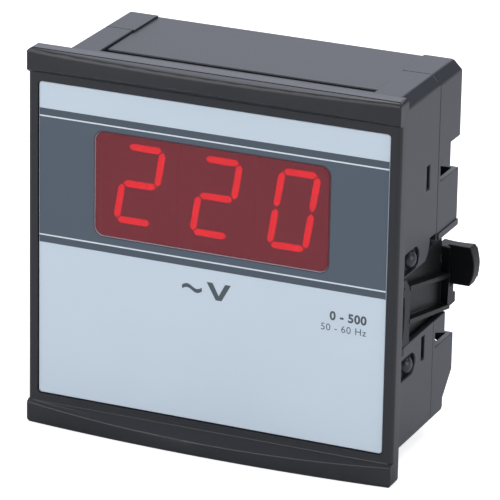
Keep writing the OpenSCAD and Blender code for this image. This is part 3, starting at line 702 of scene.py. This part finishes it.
@dataclass
class Face:
    """The printed face label and the red window in it.

    Attributes:
        width: Width of the label.
        height: Height of the label.
        corner: Radius of the label's corners.
        edge: Rounding of the label's edges.
        window_w: Width of the window's opening.
        window_h: Height of the opening.
        window_r: Radius of the opening's corners.
        window_z: Z of the opening's middle.
        pane_gap: Gap between the opening and the pane.
        pane_edge: Rounding of the pane's edges.
        flange_thickness: Thickness of the flange behind the label.
        flange_reach: How far the flange reaches past the opening.
        flange_corner: Radius of the flange's corners.
        flange_edge: Rounding of the flange's edges.
        joint: Hair's breadth that keeps pane and flange from sharing a face.
        band_top: Z of the band's upper edge.
        band_bottom: Z of the band's lower edge.
        band_margin: Plain label left at each end of the band.
        line_inset: From the band's edge to its white line.
        line: Height of a white line.
        hole_growth: How much larger than the opening the band's hole is.
        border_growth: How much larger the outer and inner sides of the window's border are.
        ink: Thickness of the ink.
        wave_left: X of the left end of the wave in the sign of alternating volts.
        wave_length: Its length.
        wave_z: Z of its middle.
        wave_swing: How far it swings up and down.
        wave_stroke: Width of its stroke.
        wave_steps: Steps along it.
        volt_letter: Outline of the letter beside it.
        scale: Lines of the scale.
        scale_right: X of the right end of those lines.
    """

    width: float = 90.4
    height: float = 79.6
    corner: float = 0.8
    edge: float = 0.12
    window_w: float = 60.6
    window_h: float = 26.2
    window_r: float = 2.3
    window_z: float = 16.4
    pane_gap: float = 0.1
    pane_edge: float = 0.1
    flange_thickness: float = 1.0
    flange_reach: float = 2.5
    flange_corner: float = 1.0
    flange_edge: float = 0.05
    joint: float = 0.02
    band_top: float = 33.2
    band_bottom: float = -0.8
    band_margin: float = 0.15
    line_inset: float = 1.75
    line: float = 0.36
    hole_growth: float = 0.1
    border_growth: Point = (0.7, 0.1)
    ink: float = 0.02
    wave_left: float = -7.2
    wave_length: float = 5.2
    wave_z: float = -6.15
    wave_swing: float = 0.55
    wave_stroke: float = 1.0
    wave_steps: int = 24
    volt_letter: tuple[Point, ...] = (
        (-0.8, -3.95), (0.75, -3.95), (2.4, -7.1), (4.05, -3.95), (5.5, -3.95), (3.15, -8.25), (1.65, -8.25))
    scale: tuple[Words, ...] = (Words("range_scale", "0 - 500", 2.1, -8.05, 0.1),
                                Words("frequency_scale", "50 - 60 Hz", 1.75, -10.9, -0.01))
    scale_right: float = 40.4

    def build(self, nodes: dict[str, bpy.types.Object]) -> None:
        """Makes the label, its print and the window.

        Args:
            nodes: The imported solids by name.
        """
        low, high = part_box("face_label")
        front, back = low.y / MM, high.y / MM
        outline = rounded(self.width, self.height, self.corner)
        label = plate("printed_label", [outline, self.opening()], front, back, self.edge)
        finish_piece(label, FROSTED_FILM, METER, "label_print", "face_label")
        self.print_bands(front)
        self.print_signs(front)
        self.build_window()

    def opening(self, growth: float = 0.0, round_growth: float = 0.0) -> Loop:
        """Draws the window's opening, or an outline that much larger round it.

        Args:
            growth: How much wider and higher the outline is.
            round_growth: How much larger the radius of its corners is.

        Returns:
            The outline.
        """
        return rounded(self.window_w + growth, self.window_h + growth, self.window_r + round_growth,
                       (0, self.window_z))

    def strip(self, name: str, z0: float, z1: float, front: float, finish: Finish, cut: bool = False) -> None:
        """Prints a band from side to side.

        Args:
            name: Name of the piece.
            z0: Its lower edge.
            z1: Its upper edge.
            front: Y of the surface under the ink.
            finish: The ink.
            cut: Whether the window's opening is cut from it.
        """
        w = self.width / 2 - self.band_margin
        loops = [[(-w, z0), (w, z0), (w, z1), (-w, z1)]]
        if cut:
            loops.append(self.opening(self.hole_growth))
        finish_piece(plate(name, loops, front - self.ink, front), finish, METER, "label_print")

    def print_bands(self, front: float) -> None:
        """Prints the slate band, its darker borders, their two white lines and the window's border.

        Args:
            front: Y of the label's surface.
        """
        top, low, i, t = self.band_top, self.band_bottom, self.line_inset, self.line
        self.strip("slate_band", low + i + t, top - i - t, front, SLATE_INK, cut=True)
        ring = [self.opening(growth, growth / 2) for growth in self.border_growth]
        border = plate("window_border", ring, front - 1.5 * self.ink, front - self.ink)
        finish_piece(border, WINE_INK, METER, "label_print")
        self.strip("upper_border", top - i, top, front, DARK_INK)
        self.strip("lower_border", low, low + i, front, DARK_INK)
        self.strip("upper_line", top - i - t, top - i, front, WHITE_INK)
        self.strip("lower_line", low + i, low + i + t, front, WHITE_INK)

    def print_signs(self, front: float) -> None:
        """Prints the sign of alternating volts and a plain scale.

        Args:
            front: Y of the label's surface.
        """
        half = self.wave_stroke / 2
        shares = [i / self.wave_steps for i in range(self.wave_steps + 1)]
        wave = [(self.wave_left + self.wave_length * share,
                 self.wave_z + self.wave_swing * math.sin(2 * math.pi * share)) for share in shares]
        stroke = [(x, z + half) for x, z in wave] + [(x, z - half) for x, z in reversed(wave)]
        for name, loop in (("wave_sign", stroke), ("volt_sign", list(self.volt_letter))):
            finish_piece(plate(name, [loop], front - self.ink, front), SIGN_INK, METER, "label_print")
        for words in self.scale:
            finish_piece(lettering(words, self.scale_right, front, self.ink), SIGN_INK, METER, "label_print")

    def build_window(self) -> None:
        """Makes the red window with its flange behind the label."""
        low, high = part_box("display_window")
        front, back = low.y / MM, high.y / MM
        shoulder = back - self.flange_thickness
        pane = plate("red_window", [self.opening(-2 * self.pane_gap, -self.pane_gap)], front,
                     shoulder + self.joint, self.pane_edge)
        outline = rounded(self.window_w + 2 * self.flange_reach, self.window_h + 2 * self.flange_reach,
                          self.flange_corner, (0, self.window_z))
        flange = plate("red_window_flange", [outline], shoulder + 2 * self.joint, back, self.flange_edge)
        finish_piece(pane, RED_ACRYLIC, METER, "red_filter", "display_window")
        finish_piece(flange, CLEAR_FLANGE, METER, "red_filter")


@dataclass
class Display:
    """Three digit modules and their light bars.

    Attributes:
        pitch: From one digit to the next.
        height: Height of a digit between the middles of its bars.
        width: Width of a digit between the middles of its bars.
        bar: Width of a bar.
        lean: How far a digit leans to the right for its height.
        gap: Gap at a bar's end.
        middle_z: Z of the digits' middle.
        edge: Rounding of the bars' edges.
        value: What is shown.
    """

    pitch: float = 20.0
    height: float = 18.7
    width: float = 9.1
    bar: float = 1.7
    lean: float = 0.16
    gap: float = 0.25
    middle_z: float = 16.4
    edge: float = 0.08
    value: str = "220"

    def leaned(self, digit: int, points: Sequence[Point]) -> Loop:
        """Moves a bar's outline to its digit and leans it to the right as it rises."""
        return [((digit - 1) * self.pitch + x + self.lean * z, self.middle_z + z) for x, z in points]

    def outline(self, bar: Bar) -> Loop:
        """Draws one light bar about its digit's middle.

        Args:
            bar: Which bar.

        Returns:
            Its outline before the lean.
        """
        w, h, t, g = self.width / 2, self.height / 2, self.bar / 2, self.gap
        flat = {Bar.TOP: h, Bar.MIDDLE: 0.0, Bar.BOTTOM: -h}
        if bar in flat:
            z, a = flat[bar], w - g
            return [(-a, z), (-a + t, z + t), (a - t, z + t), (a, z), (a - t, z - t), (-a + t, z - t)]
        x = w if bar in (Bar.RIGHT_UPPER, Bar.RIGHT_LOWER) else -w
        z0, z1 = (0.0, h) if bar in (Bar.RIGHT_UPPER, Bar.LEFT_UPPER) else (-h, 0.0)
        return [(x, z0 + g), (x + t, z0 + g + t), (x + t, z1 - g - t), (x, z1 - g), (x - t, z1 - g - t),
                (x - t, z0 + g + t)]

    def build(self, nodes: dict[str, bpy.types.Object]) -> None:
        """Makes the lit bars of the value and the unlit rest, and finishes the modules.

        Args:
            nodes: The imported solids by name.
        """
        dark: list[Loop] = []
        for digit, (numeral, place) in enumerate(zip(self.value, Place)):
            low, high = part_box("lit_bars_" + place.value)
            lit = [self.leaned(digit, self.outline(b)) for b in NUMERALS[numeral]]
            dark += [self.leaned(digit, self.outline(b)) for b in Bar if b not in NUMERALS[numeral]]
            piece = plate("glowing_bars_" + place.value, lit, low.y / MM, high.y / MM, self.edge)
            finish_piece(piece, LIT_EPOXY, METER, "lit_red", "lit_bars_" + place.value)
        low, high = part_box("unlit_bars")
        rest = plate("dull_bars", dark, low.y / MM, high.y / MM, self.edge)
        finish_piece(rest, DULL_EPOXY, METER, "unlit_epoxy", "unlit_bars")
        dress(nodes, ["digit_" + place.value for place in Place], MODULE_ABS)


@dataclass
class Housing:
    """The front case and the rear cover that snaps over it.

    Attributes:
        edge: Rounding of their edges.
    """

    edge: float = 0.25

    def build(self, nodes: dict[str, bpy.types.Object]) -> None:
        """Makes both shells with their edges rounded over."""
        for node, name in (("front_case", "ribbed_front_case"), ("rear_cover", "shrouded_rear_cover")):
            finish_piece(softened(nodes[node], name, self.edge), TEXTURED_ABS, METER, "case_black", node)


@dataclass
class Clamps:
    """The two fixing clamps that slide in the housing's sides.

    Attributes:
        edge: Rounding of their edges.
    """

    edge: float = 0.25

    def build(self, nodes: dict[str, bpy.types.Object]) -> None:
        """Makes a clamp for each side.

        Args:
            nodes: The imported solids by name.
        """
        for side in Side:
            node = "fixing_clamp_" + side.value
            piece = softened(nodes[node], "sliding_clamp_" + side.value, self.edge)
            finish_piece(piece, MOULDED_NYLON, "clamp_" + side.value, "clamp_black", node)


@dataclass
class Terminals:
    """Four cage terminals behind their shrouds.

    Attributes:
        edge: Rounding of the edges of screws and cages.
        count: How many there are.
    """

    edge: float = 0.15
    count: int = 4

    def build(self, nodes: dict[str, bpy.types.Object]) -> None:
        """Makes the screws and cages with soft edges, and finishes the bars.

        Args:
            nodes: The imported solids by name.
        """
        for i in range(1, self.count + 1):
            screw = softened(nodes[f"terminal_screw_{i}"], f"clamp_screw_{i}", self.edge)
            finish_piece(screw, ZINC_STEEL, f"screw_{i}", "screw_steel", f"terminal_screw_{i}")
            cage = softened(nodes[f"terminal_cage_{i}"], f"folded_cage_{i}", self.edge)
            finish_piece(cage, ZINC_STEEL, f"cage_{i}", "cage_steel", f"terminal_cage_{i}")
        dress(nodes, [f"terminal_busbar_{i}" for i in range(1, self.count + 1)], BRIGHT_BRASS)


@dataclass
class Boards:
    """The two circuit boards and all that they carry inside the housing.

    Attributes:
        finishes: Finish of each solid by its name.
    """

    finishes: dict[str, Finish] = field(default_factory=lambda: {
        "display_board": SOLDER_MASK, "main_board": SOLDER_MASK,
        "display_board_screws": ZINC_STEEL, "main_board_screws": ZINC_STEEL,
        "microcontroller": MOULDED_EPOXY, "bridge_rectifier": MOULDED_EPOXY,
        "voltage_regulator": MOULDED_EPOXY,
        "display_connector": CREAM_NYLON, "main_connector": CREAM_NYLON, "ribbon_cable": RIBBED_PVC,
        "transformer_bobbin": CREAM_NYLON, "transformer_core": LAMINATED_STEEL,
        "transformer_winding": POLYESTER_TAPE,
        "filter_capacitor": SHRUNK_PVC, "film_capacitor": YELLOW_BOX, "varistor": DIPPED_EPOXY,
        "trimmer_body": DIPPED_EPOXY, "trimmer_rotor": CREAM_NYLON, "input_resistors": RINGED_LACQUER,
    })

    def build(self, nodes: dict[str, bpy.types.Object]) -> None:
        """Finishes each part of the boards."""
        for name, finish in self.finishes.items():
            dress(nodes, [name], finish)


# ---------- studio ----------


@dataclass(frozen=True)
class Lamp:
    """A soft rectangular lamp that faces the meter.

    Attributes:
        name: Name of the lamp.
        place: Its middle in metres.
        size: Its width and height in metres.
        power: Its power in watts.
    """

    name: str
    place: tuple[float, float, float]
    size: tuple[float, float]
    power: float

    def hang(self) -> None:
        """Puts the lamp in the scene and turns it to the meter."""
        data = bpy.data.lights.new(self.name, "AREA")
        data.shape, data.energy = "RECTANGLE", self.power
        data.size, data.size_y = self.size
        lamp = link(bpy.data.objects.new(self.name, data))
        lamp.location = self.place
        lamp.rotation_mode = "QUATERNION"
        lamp.rotation_quaternion = (-Vector(self.place)).to_track_quat("-Z", "Y")


@dataclass
class Studio:
    """A pale floor, soft light from all round and a long lens.

    Attributes:
        azimuth: Degrees that the camera stands to the right of the front.
        elevation: Degrees that it stands above.
        roll: Degrees that it is rolled.
        distance: Its distance in millimetres.
        lens: Its focal length in millimetres.
        sensor: Width of its sensor in millimetres.
        shift: Shift of its picture to the side and up.
        reach: Nearest and furthest metre that it sees.
        floor_half: Half the floor's width in metres.
        floor_tones: The floor's two colours, which drift into each other.
        floor_drift: How fast they drift.
        floor_glow: Light that the floor adds for the camera alone, up to white.
        lamps: The lamps.
        sky: Level of the surroundings as light.
        front_wall: Level that a glossy surface sees in front of the meter.
        rear_wall: Level that it sees behind the meter.
        flag_rise: Upward part of a direction from which the dark flag is full.
        flag_side: Rightward part of a direction from which it is full.
        flag: How much of the light it takes away.
        sky_colour: Colour of the surroundings as light.
    """

    azimuth: float = 23.905
    elevation: float = 20.195
    roll: float = 0.883
    distance: float = 1062.5
    lens: float = 321.35
    sensor: float = 36.0
    shift: Point = (0.0671, 0.0236)
    reach: Point = (0.05, 20.0)
    floor_half: float = 2.5
    floor_tones: tuple[str, str] = ("#cfd0d3", "#d4d5d7")
    floor_drift: float = 3.0
    floor_glow: float = 0.74
    lamps: tuple[Lamp, ...] = (Lamp("top_softbox", (0.1, 0.25, 0.75), (0.9, 0.7), 5.0),
                               Lamp("front_softbox", (-0.5, -0.9, 0.45), (1.0, 0.9), 6.5),
                               Lamp("side_softbox", (0.9, -0.1, 0.25), (0.5, 0.5), 2.5))
    sky: float = 0.5
    front_wall: float = 0.35
    rear_wall: float = 1.25
    flag_rise: float = 0.3
    flag_side: float = 0.25
    flag: float = 1.0
    sky_colour: str = "#e8ecfa"

    def build(self) -> None:
        """Sets the camera, the floor, the lamps and the surroundings."""
        self.set_camera()
        self.lay_floor()
        for lamp in self.lamps:
            lamp.hang()
        self.paint_sky()
        bpy.context.scene.view_settings.view_transform = "Standard"

    def set_camera(self) -> None:
        """Places the camera and turns it by its angles."""
        a, e, r = (math.radians(v) for v in (self.azimuth, self.elevation, self.roll))
        back = Vector((math.sin(a) * math.cos(e), -math.cos(a) * math.cos(e), math.sin(e)))
        right = Vector((math.cos(a), math.sin(a), 0))
        up = back.cross(right)
        x = right * math.cos(r) + up * math.sin(r)
        y = -right * math.sin(r) + up * math.cos(r)
        data = bpy.data.cameras.new("camera")
        data.sensor_width, data.lens = self.sensor, self.lens
        data.shift_x, data.shift_y = self.shift
        data.clip_start, data.clip_end = self.reach
        camera = link(bpy.data.objects.new("camera", data))
        place = Matrix((x, y, back)).transposed().to_4x4()
        place.translation = back * self.distance * MM
        camera.matrix_world = place
        bpy.context.scene.camera = camera

    def lay_floor(self) -> None:
        """Lays a pale floor under the meter's lowest point, white to the camera but for the shadow."""
        low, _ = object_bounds()
        mesh = bpy.data.meshes.new("floor")
        h = self.floor_half
        mesh.from_pydata([(-h, -h, low.z), (h, -h, low.z), (h, h, low.z), (-h, h, low.z)], [], [(0, 1, 2, 3)])
        floor = link(bpy.data.objects.new("floor", mesh))
        material, tree = new_tree("pale_studio_floor")
        place = add(tree, "ShaderNodeTexCoord").outputs["Object"]
        drift = add(tree, "ShaderNodeTexNoise", {"Scale": self.floor_drift}, {"Vector": place})
        first, second = (linear(tone) for tone in self.floor_tones)
        tone = add(tree, "ShaderNodeMix", {"data_type": "RGBA", COLOUR_A: first, COLOUR_B: second},
                   {FACTOR: drift.outputs["Fac"]})
        paper = add(tree, "ShaderNodeBsdfDiffuse", {}, {"Color": tone.outputs[COLOUR_OUT]})
        rays = add(tree, "ShaderNodeLightPath")
        seen = add(tree, "ShaderNodeMath", {"operation": "MULTIPLY", 1: self.floor_glow},
                   {0: rays.outputs["Is Camera Ray"]})
        glow = add(tree, "ShaderNodeEmission", {"Color": (1, 1, 1, 1)}, {"Strength": seen.outputs[0]})
        both = add(tree, "ShaderNodeAddShader", {}, {0: paper.outputs[0], 1: glow.outputs[0]})
        add(tree, "ShaderNodeOutputMaterial", {}, {"Surface": both.outputs[0]})
        floor.data.materials.append(material)
        floor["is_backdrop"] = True

    def paint_sky(self) -> None:
        """Fills the surroundings: white to the camera and through glass, and a soft light besides.

        A glossy surface sees a brighter wall behind the meter than in front of it, and a dark flag
        up to the right.
        """
        world = bpy.data.worlds.new("white_surroundings")
        bpy.context.scene.world = world
        world.use_nodes = True
        tree = world.node_tree
        tree.nodes.clear()
        rays = add(tree, "ShaderNodeLightPath")
        seen = add(tree, "ShaderNodeMath", {"operation": "MAXIMUM"},
                   {0: rays.outputs["Is Camera Ray"], 1: rays.outputs["Is Transmission Ray"]})
        place = add(tree, "ShaderNodeTexCoord").outputs["Generated"]
        way = add(tree, "ShaderNodeSeparateXYZ", {}, {0: place})
        wall = add(tree, "ShaderNodeMapRange",
                   {"From Min": -1.0, "To Min": self.front_wall, "To Max": self.rear_wall},
                   {"Value": way.outputs["Y"]})
        over = add(tree, "ShaderNodeMapRange", {"From Max": self.flag_rise}, {"Value": way.outputs["Z"]})
        right = add(tree, "ShaderNodeMapRange", {"From Max": self.flag_side, "To Max": self.flag},
                    {"Value": way.outputs["X"]})
        flag = add(tree, "ShaderNodeMath", {"operation": "MULTIPLY"},
                   {0: over.outputs["Result"], 1: right.outputs["Result"]})
        cut = add(tree, "ShaderNodeMath", {"operation": "SUBTRACT", 0: 1.0}, {1: flag.outputs[0]})
        kept = add(tree, "ShaderNodeMath", {"operation": "MULTIPLY"},
                   {0: wall.outputs["Result"], 1: cut.outputs[0]})
        shiny = add(tree, "ShaderNodeMix", {FLOAT_A: self.sky},
                    {FACTOR: rays.outputs["Is Glossy Ray"], FLOAT_B: kept.outputs[0]})
        level = add(tree, "ShaderNodeMix", {FLOAT_B: 1.0},
                    {FACTOR: seen.outputs[0], FLOAT_A: shiny.outputs[0]})
        tint = add(tree, "ShaderNodeMix",
                   {"data_type": "RGBA", COLOUR_A: linear(self.sky_colour), COLOUR_B: (1, 1, 1, 1)},
                   {FACTOR: seen.outputs[0]})
        sky = add(tree, "ShaderNodeBackground", {},
                  {"Color": tint.outputs[COLOUR_OUT], "Strength": level.outputs[0]})
        add(tree, "ShaderNodeOutputWorld", {}, {"Surface": sky.outputs[0]})


def main() -> None:
    """Dresses the whole meter and sets the studio round it."""
    logging.basicConfig(level=logging.INFO, format="%(name)s: %(message)s")
    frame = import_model()
    nodes = frame["nodes"]
    Studio().build()
    for part in (Bezel(), Face(), Display(), Housing(), Clamps(), Terminals(), Boards()):
        part.build(nodes)


if __name__ == "__main__":
    main()
